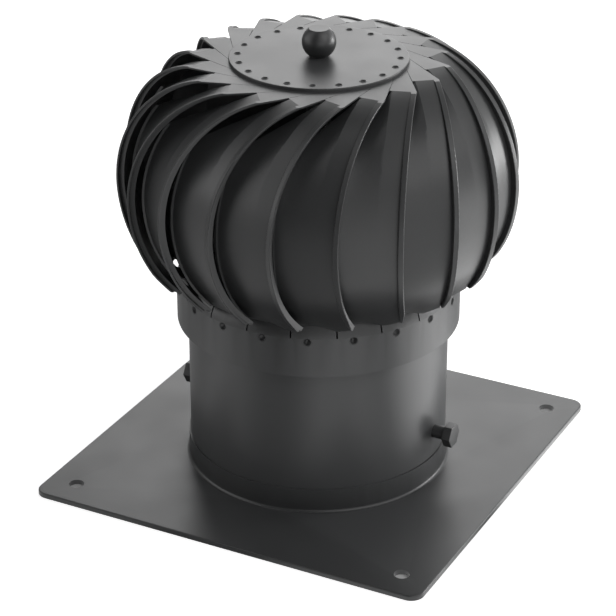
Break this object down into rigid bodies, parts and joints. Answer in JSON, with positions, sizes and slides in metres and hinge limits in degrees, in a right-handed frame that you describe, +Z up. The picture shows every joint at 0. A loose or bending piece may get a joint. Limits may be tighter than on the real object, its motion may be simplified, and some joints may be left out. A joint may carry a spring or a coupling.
{
  "type": "rotating chimney cowl",
  "caption": "Rotating chimney cowl: a basket of bowed vanes under a riveted disc turns on bearings above a neck tube with a square base plate that bolts over a flue.",
  "frame": {"origin": "Centre of the base plate's underside, on the axis of rotation", "axes": "+Z up along the axis of rotation, X through the two clamp screws, Y along the plate's other side"},
  "size_m": [0.25, 0.25, 0.2719],
  "materials": {
    "coated_steel": "satin anthracite powder coat",
    "plain_steel": "turned or zinc-plated steel, hidden inside"
  },
  "bodies": {
    "stator": {"base_plate": "coated_steel", "base_collar": "coated_steel", "neck_tube": "coated_steel", "clamp_bolt_right": "coated_steel", "clamp_bolt_left": "coated_steel", "weld_nut_right": "plain_steel", "weld_nut_left": "plain_steel", "bearing_bridge": "plain_steel", "bearing_housing": "plain_steel", "housing_screws": "plain_steel", "lower_outer_race": "plain_steel", "upper_outer_race": "plain_steel", "housing_clip": "plain_steel"},
    "rotor": {"spindle": "plain_steel", "lower_inner_race": "plain_steel", "upper_inner_race": "plain_steel", "spacer_sleeve": "plain_steel", "lock_washer": "plain_steel", "lock_nut": "plain_steel", "hub_washer": "plain_steel", "top_disc": "coated_steel", "ball_knob": "coated_steel", "rotor_ring": "coated_steel", "disc_rivets": "coated_steel", "ring_rivets": "coated_steel", "vane_01": "coated_steel", "vane_02": "coated_steel", "vane_03": "coated_steel", "vane_04": "coated_steel", "vane_05": "coated_steel", "vane_06": "coated_steel", "vane_07": "coated_steel", "vane_08": "coated_steel", "vane_09": "coated_steel", "vane_10": "coated_steel", "vane_11": "coated_steel", "vane_12": "coated_steel", "vane_13": "coated_steel", "vane_14": "coated_steel", "vane_15": "coated_steel", "vane_16": "coated_steel", "vane_17": "coated_steel", "vane_18": "coated_steel", "vane_19": "coated_steel", "vane_20": "coated_steel"}
  },
  "joints": [
    {"name": "rotor_spin", "type": "hinge", "parent": "stator", "child": "rotor", "pos_m": [0, 0, 0.096], "axis": [0, 0, 1], "continuous": true}
  ]
}
